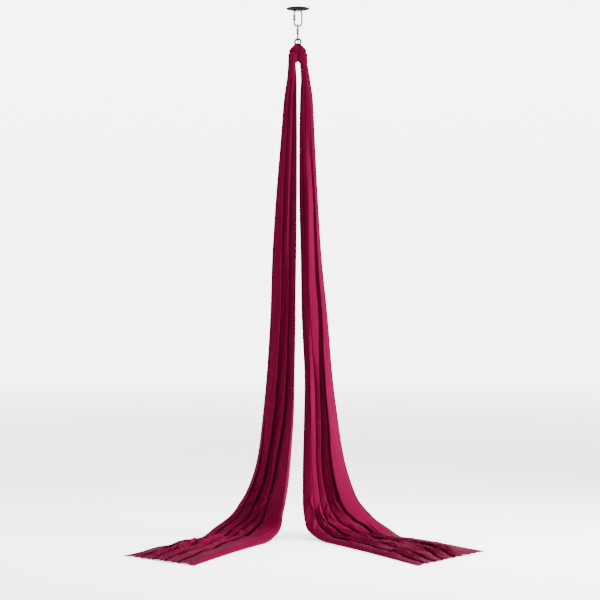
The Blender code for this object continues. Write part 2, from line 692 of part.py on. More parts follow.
def hitch_rows():
    """The hitch's sections from the right strand's end to the left one's, from the large ring's centre.

    Each row is a place, then the thin half of the band and then its wide half, all as vectors.
    """
    angle = math.radians(SHOULDER_ANGLE)
    outward = Vector((math.cos(angle), 0.0, math.sin(angle)))
    along = Vector((math.sin(angle), 0.0, -math.cos(angle)))
    right, back, down = Vector((1.0, 0.0, 0.0)), Vector((0.0, 1.0, 0.0)), Vector((0.0, 0.0, -1.0))
    thin, wide, bight = BAND_THICKNESS / 2, BAND_WIDTH / 2, BIGHT_WIDTH / 2
    shoulder = outward * LARGE_RING_RADIUS
    wrap = LARGE_RING_STOCK + WRAP_CLEARANCE + thin
    end = right * STRAND_OFFSET + back * STRAND_FRONT_Y + down * STRAND_END_DROP
    hole_width = STRAND_IN_RING_WIDTH / 2
    hole = right * (hole_width + STRAND_PARTING)
    lip_depth = (STRAND_DEPTH / 2 + wide) / 2
    lip_turn = (back + down).normalized()
    lip_x = (hole.x + STRAND_OFFSET) * LIP_SHARE
    lip_arc = right * lip_x + down * math.sqrt(LARGE_RING_RADIUS**2 - lip_x**2)
    lip = lip_arc - lip_turn * (LARGE_RING_STOCK + WRAP_CLEARANCE + lip_depth)
    corner_side = (outward - back * FRONT_CORNER_PLACE_LEAN).normalized()
    corner_face = (back * FRONT_CORNER_FACE_LEAN - outward).normalized()
    corner = shoulder.lerp(-down * BIGHT_RISE, FRONT_CORNER_SHARE) + corner_side * wrap
    front = back * -(SMALL_RING_STOCK + GAP + thin) - down * BIGHT_RISE
    half = [
        (end, right * (STRAND_WIDTH / 2), back * (STRAND_DEPTH / 2)),
        (end - down * STRAND_LIFT, right * (STRAND_WIDTH / 2), back * (STRAND_DEPTH / 2)),
        (lip, right * ((STRAND_WIDTH / 2 + hole_width) * LIP_SHARE), lip_turn * lip_depth),
        (hole, right * hole_width, down * wide),
        (shoulder + (back - outward).normalized() * wrap, (outward - back).normalized() * thin, along * wide),
        (shoulder + back * wrap, back * -thin, along * wide),
        (shoulder + outward * wrap, outward * -thin, along * wide),
        (corner, corner_face * thin, (along + down).normalized() * ((wide + bight) / 2)),
        (front, back * thin, down * bight),
    ]
    mirror = Matrix.Scale(-1.0, 3, right)
    rows = half + [tuple(mirror @ vector for vector in row) for row in reversed(half[:-1])]
    return [[*place, *thin_half, *wide_half] for place, thin_half, wide_half in rows]


def make_silk_hitch(parts, axis):
    rows = hitch_rows()
    centre = Vector((0.0, 0.0, LARGE_RING_Z - SMALL_RING_TOP_Z))
    rings = [
        cloth_ring(centre + Vector(row[:3]), Vector(row[3:6]), Vector(row[6:]), HITCH_FOLD_SHARE)
        for row in through(rows, [HITCH_STEPS] * (len(rows) - 1))
    ]
    hitch = loft("silk_hitch", rings, parts, axis)
    finish_material(hitch, WINE_SILK)


def tail_rows(side, shares, reach, forward):
    """A tail's inner edge, outer edge and depth at each row, in metres, from the hitch to the silk's end."""
    near, far = STRAND_OFFSET - STRAND_WIDTH / 2, STRAND_OFFSET + STRAND_WIDTH / 2
    rows = [[side * near, STRAND_FRONT_Y, TAIL_TOP_Z, side * far, STRAND_FRONT_Y, TAIL_TOP_Z, STRAND_DEPTH]]
    for in_x, in_y, in_down, out_x, out_y, out_down, thickness in shares:
        depth = thickness * CLOTH_DEPTH
        fall = TAIL_FALL - depth / 2
        rows.append([
            side * in_x * reach, -in_y * forward, TAIL_TOP_Z - in_down * fall,
            side * out_x * reach, -out_y * forward, TAIL_TOP_Z - out_down * fall,
            depth,
        ])
    return rows


def make_silk_tail(name, side, shares, reach, forward, parts):
    hinge = Vector((side * (STRAND_OFFSET + STRAND_WIDTH / 2), STRAND_FRONT_Y, TAIL_TOP_Z))
    axis = new_empty(name + "_axis", hinge, 0.0, parts)
    rows = tail_rows(side, shares, reach, forward)
    steps = [HANGING_STEPS] * HANGING_ROWS + [FLOOR_STEPS] * (len(rows) - 1 - HANGING_ROWS)
    edges = [
        (on_floor(row[:3], row[6]), on_floor(row[3:6], row[6]), row[6])
        for row in through(rows, steps)
    ]
    centres = [(inner + outer) / 2 for inner, outer, depth in edges]
    rings = []
    for index, (inner, outer, depth) in enumerate(edges):
        before, after = centres[max(index - 1, 0)], centres[min(index + 1, len(centres) - 1)]
        run = after - before if index else Vector((0.0, 0.0, -1.0))
        across = (outer - inner) / 2
        thick = across.cross(run).normalized() * (side * depth / 2)
        rings.append(cloth_ring(centres[index] - hinge, across, thick, cloth_fold_share(index / len(edges))))
    tail = loft(name, rings, parts, axis)
    finish_material(tail, WINE_SILK)


def on_floor(place, depth):
    """The place, or the lowest one above it where cloth of this depth rests on the floor."""
    return Vector((place[0], place[1], max(place[2], depth / 2 - HANG_HEIGHT)))


def cloth_fold_share(down):
    """The folds start as shallow as the hitch's and deepen down the tail."""
    return HITCH_FOLD_SHARE + (TAIL_FOLD_SHARE - HITCH_FOLD_SHARE) * min(1.0, down / FOLD_GROWTH_SHARE)


def main():
    clear_scene()
    parts = new_collection("aerial_silks")
    cutters = new_collection("cutters")
    make_ceiling_plate(parts, cutters)
    make_hanger_eye(parts)
    make_carabiner("upper_", UPPER_TOP_Z, 0.0, parts, cutters)
    make_carabiner("lower_", LOWER_TOP_Z, math.pi / 2, parts, cutters)
    eight_axis = new_empty("eight_axis", (0.0, 0.0, SMALL_RING_TOP_Z), 0.0, parts)
    make_figure_eight(parts, cutters, eight_axis)
    make_silk_hitch(parts, eight_axis)
    make_silk_tail("silk_left_tail", -1, LEFT_TAIL_SHARES, LEFT_REACH, LEFT_FORWARD_REACH, parts)
    make_silk_tail("silk_right_tail", 1, RIGHT_TAIL_SHARES, RIGHT_REACH, RIGHT_FORWARD_REACH, parts)


main()
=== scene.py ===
"""Aerial silks: finishes for the hardware, and the silk as one folded cloth in three joined sheets.

Metres, +Z up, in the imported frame. A sheet is made row by row down its length. Each row is a folded line
across the cloth: broad panels that show, and narrow loops gathered behind their edges, so that the line is as
long as the flat cloth is wide, or as near to that as the bundle's depth allows.
"""

import math

import bpy
import numpy as np
from bpy.props import FloatProperty, FloatVectorProperty, PointerProperty
from bpy.types import Operator, Panel, PropertyGroup
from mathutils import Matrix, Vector


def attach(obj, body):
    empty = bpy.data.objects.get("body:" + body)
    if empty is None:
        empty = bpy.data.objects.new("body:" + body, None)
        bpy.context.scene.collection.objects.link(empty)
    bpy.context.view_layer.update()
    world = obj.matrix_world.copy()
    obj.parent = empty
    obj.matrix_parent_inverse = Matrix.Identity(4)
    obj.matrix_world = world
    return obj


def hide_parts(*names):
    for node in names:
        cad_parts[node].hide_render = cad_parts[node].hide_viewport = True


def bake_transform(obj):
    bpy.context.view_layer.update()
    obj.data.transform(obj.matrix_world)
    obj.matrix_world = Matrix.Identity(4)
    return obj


bl_info = {
    "name": "Aerial Silks",
    "version": (1, 0, 0),
    "blender": (4, 5, 0),
    "location": "3D Viewport > Sidebar > Silks",
    "description": "Builds the cloth and finishes of an aerial silks rig around its packed frame",
    "category": "Object",
}

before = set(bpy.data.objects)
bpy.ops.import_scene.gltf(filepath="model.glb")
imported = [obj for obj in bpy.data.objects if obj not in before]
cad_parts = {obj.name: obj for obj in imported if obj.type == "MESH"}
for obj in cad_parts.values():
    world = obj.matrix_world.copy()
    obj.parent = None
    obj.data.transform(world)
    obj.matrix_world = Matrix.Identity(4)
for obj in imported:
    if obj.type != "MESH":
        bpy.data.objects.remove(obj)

# The figure-eight's rings. The hitch is wound round the large one.
LARGE_RING_Z = -0.2925
LARGE_RING_RADIUS = 0.034
LARGE_RING_STOCK = 0.006
SMALL_RING_STOCK = 0.00575
CLEARANCE = 0.0003

# Hitch. CORNER_LEAN says how far its corners turn forward, and CORNER_FACE_LEAN how far their cloth faces
# back.
BAND_THICKNESS = 0.019
WRAP_CLEARANCE = 0.0024
BAND_WIDTH = 0.039
BIGHT_WIDTH = 0.069
BIGHT_RISE = 0.0405
SHOULDER_ANGLE = 40.0
CORNER_FULLNESS = 0.011
CORNER_LEAN = 3.0
CORNER_FACE_LEAN = 2.0
HITCH_STEPS = 7

# Ridges down the hitch's cloth: their height, the share of its length over which they rise at each end, and
# their angles in radians, by depth in metres and by share of its length.
RIDGE_HEIGHT = 0.0007
RIDGE_RISE_SHARE = 0.12
BROAD_RIDGE_RATE = 560.0
FINE_RIDGE_RATE = 970.0
FINE_RIDGE_SHARE = 0.6
FINE_RIDGE_DRIFT = 14.0
RIDGE_SWAY = 5.0
RIDGE_SWAY_RATE = 9.0

# A strand, where the hitch ends and a tail starts
STRAND_WIDTH = 0.047
STRAND_DEPTH = 0.034
STRAND_OFFSET = 0.036
STRAND_FRONT_Y = -0.0233
STRAND_DROP = 0.051

# A strand of the hitch from its lower end up into the ring: its place across, forward and down from the
# ring's centre, its width and depth, and how far its depth has turned from backward (0) to downward (90
# degrees).
STRAND_ROWS = (
    (STRAND_OFFSET, -STRAND_FRONT_Y, STRAND_DROP, STRAND_WIDTH, STRAND_DEPTH, 0.0),
    (0.0298, 0.0233, 0.0370, 0.062, 0.034, 0.0),
    (0.0288, 0.0215, 0.0150, 0.061, 0.030, 10.0),
    (0.0278, 0.0190, -0.0060, 0.059, 0.026, 35.0),
    (0.0150, 0.0070, -0.0070, 0.029, 0.026, 70.0),
    (0.0138, 0.0000, 0.0000, 0.021, 0.039, 90.0),
)

# Tails. Below HANGING_SHARE of the height their rows lie closer, and within SETTLE_HEIGHT of the floor their
# folds settle onto it.
TAIL_TOP_Z = -0.3398
HANG_HEIGHT = 3.300
CLOTH_DEPTH = 0.085
HANGING_SHARE = 0.86
HANGING_STEP = 0.018
FLOOR_STEP = 0.009
SETTLE_HEIGHT = 0.25
FLOOR_CLEARANCE = 0.0008

# Hems: the share of the tail's length where they start, their waves and steps, and the share of their height
# that they lose
HEM_START = 0.94
HEM_WAVE = 0.010
HEM_WAVE_RATE = 41.0
HEM_STEP = 0.015
HEM_SINK = 0.65

# How unevenly a tail's panels change down its length: not at its top, and most on the floor
WIDTH_WOBBLE = 0.04
DEPTH_WOBBLE = 0.05
WOBBLE_WAVES = (2.0, 4.5, 9.0, 17.0)
WOBBLE_RATES = (0.7, 1.4)
CALM_SHARE = 0.08
FLOOR_UNREST = 3.0
DEEPEST_PANEL = -0.8

LEFT = {"side": -1, "reach": 1.02, "forward": 0.94}
RIGHT = {"side": 1, "reach": 1.11, "forward": 0.94}

# One row for each place down a tail: inner edge across, forward and down, outer edge across, forward and
# down, as shares of the tail's reach, forward run and fall, then its depth as a share of CLOTH_DEPTH.
LEFT["shares"] = (
    (0.006, 0.025, 0.036, 0.067, 0.025, 0.036, 0.50),
    (0.005, 0.022, 0.078, 0.085, 0.022, 0.078, 0.56),
    (0.004, 0.018, 0.161, 0.104, 0.018, 0.161, 0.64),
    (0.005, 0.013, 0.287, 0.134, 0.013, 0.287, 0.72),
    (0.008, 0.008, 0.413, 0.157, 0.004, 0.413, 0.80),
    (0.012, 0.004, 0.539, 0.170, -0.008, 0.539, 0.88),
    (0.018, 0.000, 0.664, 0.194, -0.025, 0.664, 0.94),
    (0.024, -0.004, 0.748, 0.218, -0.045, 0.748, 1.00),
    (0.041, -0.006, 0.832, 0.249, -0.075, 0.830, 1.00),
    (0.058, -0.006, 0.895, 0.290, -0.110, 0.885, 0.92),
    (0.083, -0.004, 0.945, 0.350, -0.150, 0.930, 0.80),
    (0.108, 0.008, 0.976, 0.425, -0.180, 0.962, 0.62),
    (0.140, 0.050, 0.992, 0.515, -0.160, 0.982, 0.50),
    (0.200, 0.160, 1.000, 0.610, -0.030, 1.000, 0.40),
    (0.325, 0.410, 1.000, 0.745, 0.190, 1.000, 0.35),
    (0.450, 0.700, 1.000, 0.880, 0.430, 1.000, 0.30),
    (0.569, 0.997, 1.000, 1.000, 0.630, 1.000, 0.20),
)
RIGHT["shares"] = (
    (0.017, 0.025, 0.036, 0.069, 0.025, 0.036, 0.50),
    (0.012, 0.022, 0.078, 0.085, 0.022, 0.078, 0.56),
    (0.008, 0.018, 0.161, 0.096, 0.018, 0.161, 0.64),
    (0.008, 0.013, 0.287, 0.113, 0.013, 0.287, 0.72),
    (0.016, 0.008, 0.413, 0.135, 0.004, 0.413, 0.80),
    (0.022, 0.004, 0.539, 0.169, -0.008, 0.539, 0.88),
    (0.038, 0.000, 0.664, 0.197, -0.025, 0.664, 0.94),
    (0.036, -0.004, 0.748, 0.225, -0.045, 0.748, 1.00),
    (0.031, -0.010, 0.832, 0.259, -0.075, 0.832, 1.00),
    (0.028, -0.020, 0.895, 0.300, -0.105, 0.890, 0.92),
    (0.030, -0.035, 0.945, 0.350, -0.140, 0.934, 0.80),
    (0.045, -0.040, 0.976, 0.425, -0.170, 0.964, 0.62),
    (0.085, 0.000, 0.992, 0.510, -0.150, 0.982, 0.50),
    (0.160, 0.120, 1.000, 0.610, -0.050, 1.000, 0.40),
    (0.310, 0.390, 1.000, 0.760, 0.090, 1.000, 0.35),
    (0.460, 0.690, 1.000, 0.885, 0.280, 1.000, 0.28),
    (0.607, 0.997, 1.000, 1.000, 0.450, 1.000, 0.16),
)

# Folds at STATIONS, which are shares of a tail's length. For each panel from the inner edge to the outer one:
# its width, then how far forward its inner and its outer side lie, from the back (-1) to the front (1).
STATIONS = (0.0, 0.06, 0.22, 0.37, 0.53, 0.66, 0.78, 1.0)
ROUNDED = ((1.0, 0.25, 0.88), (1.0, 0.88, 1.0), (1.0, 1.0, 1.0), (1.0, 1.0, 0.88), (1.0, 0.88, 0.25))
LEFT["panels"] = (
    ROUNDED,
    ((1.30, 0.9, 0.3), (0.70, 0.5, 0.8), (1.00, 0.9, 0.4), (1.20, 0.8, 0.3), (0.60, 0.4, -0.1)),
    ((1.60, 1.0, 0.2), (0.50, 0.4, 0.8), (1.10, 0.8, 0.2), (1.40, 0.7, 0.0), (0.40, 0.0, -0.5)),
    ((1.40, 1.0, 0.2), (0.95, 0.6, 0.2), (0.65, 0.4, 0.2), (1.85, 0.8, -0.1), (0.35, -0.1, -0.6)),
    ((1.50, 1.0, 0.0), (1.10, 0.7, 0.3), (0.50, -0.2, -0.2), (1.70, 0.7, 0.0), (0.40, 0.0, -0.6)),
    ((2.00, 1.0, 0.1), (0.45, 0.6, 0.3), (0.85, -0.2, -0.3), (1.00, 0.4, 0.2), (0.75, 0.5, -0.5)),
    ((1.90, 0.5, 0.9), (0.80, 0.6, 0.8), (0.80, 0.3, 0.6), (0.90, 0.5, 0.8), (0.90, 0.8, 0.1)),
    ((1.60, 0.3, 0.9), (0.90, 0.9, 0.6), (0.90, 0.7, 1.0), (0.90, 0.9, 0.6), (1.00, 0.9, 0.4)),
)
RIGHT["panels"] = (
    ROUNDED,
    ((1.00, 0.2, 0.9), (0.70, 0.9, 1.0), (0.90, 0.7, 1.0), (1.00, 1.0, 0.8), (1.40, 0.9, 0.2)),
    ((1.00, 0.0, 0.8), (1.35, 0.4, 1.0), (1.60, 1.0, 0.1), (0.35, 0.0, 0.1), (0.85, 0.3, -0.3)),
    ((1.20, -0.2, 0.9), (0.30, 0.8, 1.0), (1.90, 1.0, 0.0), (0.50, -0.2, 0.1), (1.20, 0.4, -0.4)),
    ((0.75, 0.0, 0.6), (0.90, 0.8, 0.5), (0.75, 0.4, 0.6), (0.95, -0.4, 0.2), (1.65, 0.9, -0.2)),
    ((0.90, 0.1, 0.8), (0.60, 0.6, 0.4), (0.60, 0.1, 0.5), (1.10, -0.5, 0.3), (1.80, 1.0, -0.1)),
    ((0.90, 0.6, 0.9), (0.80, 0.6, 0.3), (0.90, 0.5, 0.8), (0.90, 0.3, 0.6), (1.50, 0.9, 0.2)),
    ((0.80, 0.8, 0.9), (0.90, 0.9, 0.5), (0.90, 0.6, 1.0), (0.90, 0.8, 0.6), (2.60, 0.7, 0.2)),
)

# Groups of short creases: how many, then ranges for the share of the tail's length and of its width that they
# lie at, their turn outward in radians and their half length, and at last their height.
LEFT["creases"] = (
    (22, (0.665, 0.775), (0.45, 0.97), (0.0, 0.9), (0.05, 0.10), 0.0100),
    (12, (0.72, 0.78), (0.10, 0.60), (-0.5, 0.5), (0.03, 0.06), 0.0090),
    (36, (0.79, 0.99), (0.30, 0.97), (-0.25, 0.25), (0.08, 0.26), 0.0110),
)
RIGHT["creases"] = (
    (22, (0.68, 0.775), (0.05, 0.75), (-0.6, 0.6), (0.04, 0.08), 0.0100),
    (44, (0.76, 0.98), (0.10, 0.74), (-0.3, 0.3), (0.07, 0.22), 0.0120),
)

# Ranges for every crease: its half width, its bend, and the share of its group's height that it rises to. A
# crease fades out toward the back, and ends at FACING_SHARE of half the bundle's depth behind the middle.
CREASE_HALF_WIDTHS = (0.005, 0.011)
CREASE_BENDS = (-4.0, 4.0)
CREASE_HEIGHT_SHARES = (0.5, 1.0)
FACING_SHARE = 0.7

# How a row's line is drawn. A panel has a neck, a rim that turns back beside it, and two points, near to and
# far from its left side, that bulge. Shares are of the panel's width, and depth shares of half the bundle's
# depth. GATHER_SHARES are of the room that one gather has, and the counts are of points by each corner.
PANELS = 5
GATHERS = 3
NECK_SHARE = 0.26
EDGE_NECK_SHARE = 0.05
RIM_SHARE = 0.015
FLOOR_RIM_SHARE = 0.10
NEAR_SHARE = 0.3
FAR_SHARE = 0.7
BULGE_SHARE = 0.06
TURN_SHARE = 0.16
TURN_DEPTH_SHARE = 0.35
TUCK_SHARE = 0.4
TUCK_DEPTH_SHARE = 0.8
GATHER_SHARES = (0.12, 0.36, 0.64, 0.88)
SQUARENESS = 2.5
EDGE_COUNTS = (2, 2)
PANEL_COUNTS = (2, 2, 3, 4, 8, 8, 4, 3, 2, 2)
MOST_LEAN = 2.2
SOLVE_STEPS = 10

# A neck's middle lies between the rim and the back in the first two shares. The back is as deep as the bundle
# is at BACK_SHARE of the way out, so that it keeps some depth at the very edge.
NECK_FRONT_SHARE = 0.55
NECK_BACK_SHARE = 0.45
BACK_SHARE = 0.97

# Fine forms that only the materials show: the knit's rates in radians for each metre, and heights
RIB_RATE = 3800.0
COURSE_RATE = 2600.0
KNIT_HEIGHT = 0.00012
SOFT_CREASE_HEIGHT = 0.0036
BRUSH_HEIGHT = 0.00005
COAT_GRAIN_HEIGHT = 0.00012

# Stage. The paper's glow grows from front to back and outward from the middle, over these ranges.
GLOW_BACKWARD = (-7.0, -1.5)
GLOW_OUTWARD = (3.0, 20.0)

# Lights: where each stands and what it points at, its width and height, and its beam's width in degrees
LIGHTS = {
    "key": ((6.6, -1.8, -1.8), (0.0, 0.0, -2.7), (2.2, 3.0), 75.0),
    "rim": ((-6.0, 1.2, -2.4), (0.0, 0.0, -3.0), (1.5, 2.0), 60.0),
    "top": ((0.0, -0.8, 2.6), (0.0, -0.3, -3.3), (3.0, 3.0), 120.0),
}

# Camera, at the photo's place. Its lens and sensor are in millimetres.
CAMERA_PLACE = (0.0137, -9.62, -1.81)
CAMERA_LENS = 93.0
CAMERA_SENSOR = 36.0
CAMERA_REACH = 100.0


def curve_weights(counts):
    """What share each corner of a line has in each point of the smooth curve that follows the line, with
    counts[i] points by corner i."""
    rows = []
    last = len(counts) - 1
    for index, count in enumerate(counts):
        for step in range(count):
            t = step / count
            row = np.zeros(last + 1)
            row[max(index - 1, 0)] += (1 - t) ** 2 / 2
            row[index] += 0.5 + t - t * t
            row[min(index + 1, last)] += t * t / 2
            rows.append(row)
    rows.append(np.eye(last + 1)[last])
    return np.array(rows)


BETWEEN_COUNTS = (2,) * (len(GATHER_SHARES) * GATHERS)
INNER_COUNTS = (PANEL_COUNTS + BETWEEN_COUNTS) * (PANELS - 1)
CURVE = curve_weights((*EDGE_COUNTS, *INNER_COUNTS, *PANEL_COUNTS, *EDGE_COUNTS))


def squeezed(place, width):
    """How much of its depth a bundle has at a place across it: all in the middle and none at its edges."""
    share = np.clip(np.abs(2 * place / width), 0.0, 1.0)
    return (1 - share**SQUARENESS) ** (1 / SQUARENESS)


def fold_corners(width, depth, panels, opening, growth):
    """The corners of each row's folded line, across and forward of the bundle's centre.

    A panel rises from a narrow foot at the back, spreads to its full width and returns to its foot. The
    gathers stand in the room behind two panels' edges, as high in it as growth says."""
    width, half = width[:, None], depth[:, None] / 2
    panel = width * panels[..., 0]
    right = np.cumsum(panel, axis=1) - width / 2
    left = right - panel
    necks = np.full((2, PANELS), NECK_SHARE)
    necks[0, 0] = necks[1, -1] = EDGE_NECK_SHARE
    foot_left, foot_right = left + necks[0] * panel, right - necks[1] * panel
    rim_left, rim_right = left + opening[:, None] * panel, right - opening[:, None] * panel
    rim_left[:, 0], rim_right[:, -1] = left[:, 0], right[:, -1]

    def back(place):
        return -half * squeezed(place * BACK_SHARE, width)

    high_left, high_right = panels[..., 1] * half, panels[..., 2] * half
    turn = np.minimum(TURN_SHARE * panel, TURN_DEPTH_SHARE * half)
    bulge = BULGE_SHARE * panel
    low_left, low_right = high_left - turn, high_right - turn
    back_left, back_right = back(foot_left), back(foot_right)
    across = np.stack([
        foot_left, foot_left, rim_left, rim_left, left + NEAR_SHARE * panel,
        left + FAR_SHARE * panel, rim_right, rim_right, foot_right, foot_right,
    ], axis=-1)
    forward = np.stack([
        back_left, low_left * NECK_FRONT_SHARE + back_left * NECK_BACK_SHARE, low_left, high_left,
        high_left * FAR_SHARE + high_right * NEAR_SHARE + bulge,
        high_left * NEAR_SHARE + high_right * FAR_SHARE + bulge,
        high_right, low_right, low_right * NECK_FRONT_SHARE + back_right * NECK_BACK_SHARE, back_right,
    ], axis=-1)

    tucks = left[:, :1] + TUCK_SHARE * panel[:, :1], right[:, -1:] - TUCK_SHARE * panel[:, -1:]
    asides = [tucks[0], foot_left[:, :1], across[:, 0]]
    aheads = [back(tucks[0]) * TUCK_DEPTH_SHARE, back_left[:, :1], forward[:, 0]]
    for index in range(1, PANELS):
        start, end = foot_right[:, index - 1 : index], foot_left[:, index : index + 1]
        roof = np.minimum(low_right[:, index - 1], low_left[:, index])[:, None]
        for loop in range(GATHERS):
            spots = start + (end - start) * (loop + np.array(GATHER_SHARES)) / GATHERS
            feet = back(spots)
            tops = feet + np.maximum(roof - feet, 0.0) * growth[:, None]
            asides.append(spots)
            aheads.append(np.hstack([feet[:, :1], tops[:, 1:3], feet[:, 3:]]))
        asides.append(across[:, index])
        aheads.append(forward[:, index])
    asides += [foot_right[:, -1:], tucks[1]]
    aheads += [back_right[:, -1:], back(tucks[1]) * TUCK_DEPTH_SHARE]
    return np.hstack(asides), np.hstack(aheads)


def line_length(aside, ahead):
    return np.hypot(np.diff(aside, axis=1), np.diff(ahead, axis=1)).sum(axis=1)


def folded(width, depth, floor, panels, opening, cloth_width):
    """The folded lines whose cloth is as wide as the real one, or as near as the bundle's depth allows.

    The gathers grow first, and where cloth lies on the floor its folds then lean over."""
    half = depth[:, None] / 2

    def line(growth, lean):
        aside, ahead = fold_corners(width, depth, panels, opening, growth)
        aside, ahead = aside @ CURVE.T, ahead @ CURVE.T + half
        ahead *= 1 - floor[:, None] * (1 - squeezed(aside, width[:, None]))
        return aside - lean[:, None] * ahead, ahead - half

    def solve(least, most, attempt):
        for _ in range(SOLVE_STEPS):
            middle = (least + most) / 2
            long = line_length(*attempt(middle)) > cloth_width
            most, least = np.where(long, middle, most), np.where(long, least, middle)
        return least

    none = np.zeros(len(width))
    growth = solve(none, none + 1, lambda value: line(value, none))
    lean = solve(none, MOST_LEAN * floor, lambda value: line(growth, value))
    return line(growth, lean)


def eased(spots, stations, values):
    """Values between stations, with no corners at them."""
    values = np.reshape(np.asarray(values, float), (len(stations), -1))
    index = np.clip(np.searchsorted(stations, spots, side="right") - 1, 0, len(stations) - 2)
    start, end = np.asarray(stations)[index], np.asarray(stations)[index + 1]
    part = np.clip((spots - start) / (end - start), 0.0, 1.0)
    part = (part * part * (3 - 2 * part))[:, None]
    return values[index] * (1 - part) + values[index + 1] * part


def smooth_rows(rows, counts):
    """Rows of numbers along a smooth curve through the given rows, with counts[i] steps after row i."""
    rows = np.asarray(rows, float)
    rows = np.vstack([2 * rows[0] - rows[1], rows, 2 * rows[-1] - rows[-2]])
    made = []
    for index, count in enumerate(counts):
        p0, p1, p2, p3 = rows[index : index + 4]
        for step in range(count):
            t = step / count
            bend = (2 * p0 - 5 * p1 + 4 * p2 - p3) + t * (3 * (p1 - p2) + p3 - p0)
            made.append(p1 + t * ((p2 - p0) + t * bend) / 2)
    made.append(rows[-2])
    return np.array(made)


def unit(vectors):
    return vectors / np.maximum(np.linalg.norm(vectors, axis=-1, keepdims=True), 1e-9)


def sheet_mesh(name, points, across_metres, along_metres):
    """A mesh of quads through a grid of points, with UVs in metres of flat cloth."""
    rows, columns = points.shape[:2]
    grid = np.arange(rows * columns).reshape(rows, columns)
    faces = np.stack([grid[:-1, :-1], grid[:-1, 1:], grid[1:, 1:], grid[1:, :-1]], axis=-1).reshape(-1, 4)
    mesh = bpy.data.meshes.new(name)
    mesh.from_pydata(points.reshape(-1, 3).tolist(), [], faces.tolist())
    spots = np.stack([across_metres, along_metres], axis=-1).reshape(-1, 2)
    layer = mesh.uv_layers.new(name="cloth")
    layer.data.foreach_set("uv", spots[faces.reshape(-1)].astype(np.float32).reshape(-1))
    mesh.shade_smooth()
    mesh.update()
    obj = bpy.data.objects.new(name, mesh)
    bpy.context.scene.collection.objects.link(obj)
    return obj


def cloth_places(points):
    """Each point's place on the flat cloth, in metres across it and down it."""
    reached = np.linalg.norm(np.diff(points, axis=1), axis=2).cumsum(axis=1)
    across = np.hstack([np.zeros((len(points), 1)), reached])
    middle = points.mean(axis=1)
    down = np.concatenate([[0.0], np.linalg.norm(np.diff(middle, axis=0), axis=1).cumsum()])
    return across - across[:, -1:] / 2, np.broadcast_to(down[:, None], across.shape)


def tail_frame(tail):
    """A tail's rows of inner edge, outer edge and depth, with enough steps between them for its bends."""
    side, reach, forward = tail["side"], tail["reach"], tail["forward"]
    near, far = STRAND_OFFSET - STRAND_WIDTH / 2, STRAND_OFFSET + STRAND_WIDTH / 2
    rows = [[side * near, STRAND_FRONT_Y, TAIL_TOP_Z, side * far, STRAND_FRONT_Y, TAIL_TOP_Z, STRAND_DEPTH]]
    for in_x, in_y, in_down, out_x, out_y, out_down, thickness in tail["shares"]:
        depth = thickness * CLOTH_DEPTH
        fall = HANG_HEIGHT + TAIL_TOP_Z - depth / 2
        rows.append([
            side * in_x * reach, -in_y * forward, TAIL_TOP_Z - in_down * fall,
            side * out_x * reach, -out_y * forward, TAIL_TOP_Z - out_down * fall,
            depth,
        ])
    rows = np.array(rows)
    steps = np.linalg.norm(np.diff((rows[:, :3] + rows[:, 3:6]) / 2, axis=0), axis=1)
    hanging = rows[1:, 2] > -HANG_HEIGHT * HANGING_SHARE
    coarse = 1
    sizes = np.where(hanging, HANGING_STEP, FLOOR_STEP) * coarse
    return smooth_rows(rows, np.maximum(2, np.ceil(steps / sizes)).astype(int))


def wobble(spots, loops, seed, size):
    """Slow, uneven changes down the cloth, of their own for each loop."""
    dice = np.random.default_rng(seed)
    total = np.zeros((len(spots), loops))
    for waves in WOBBLE_WAVES:
        rate = waves * dice.uniform(*WOBBLE_RATES, loops)
        total += np.sin(math.tau * (spots[:, None] * rate + dice.uniform(0, 1, loops))) / math.sqrt(waves)
    return size * total


def creased(tail, spots, length, across, width, seed):
    """How far short curved creases lift each point, from its share of the tail's length and of its width."""
    dice = np.random.default_rng(seed)
    lift = np.zeros(across.shape)
    for count, down_range, across_range, turn_range, reach_range, height in tail["creases"]:
        for _ in range(count):
            turn, reach = dice.uniform(*turn_range), dice.uniform(*reach_range)
            down = (spots - dice.uniform(*down_range))[:, None] * length
            out = (across - dice.uniform(*across_range)) * width[:, None]
            along = down * math.cos(turn) + out * math.sin(turn)
            off = out * math.cos(turn) - down * math.sin(turn) - dice.uniform(*CREASE_BENDS) * along**2
            ridge = np.exp(-((off / dice.uniform(*CREASE_HALF_WIDTHS)) ** 2) - (along / reach) ** 2)
            lift += height * dice.uniform(*CREASE_HEIGHT_SHARES) * ridge
    return lift


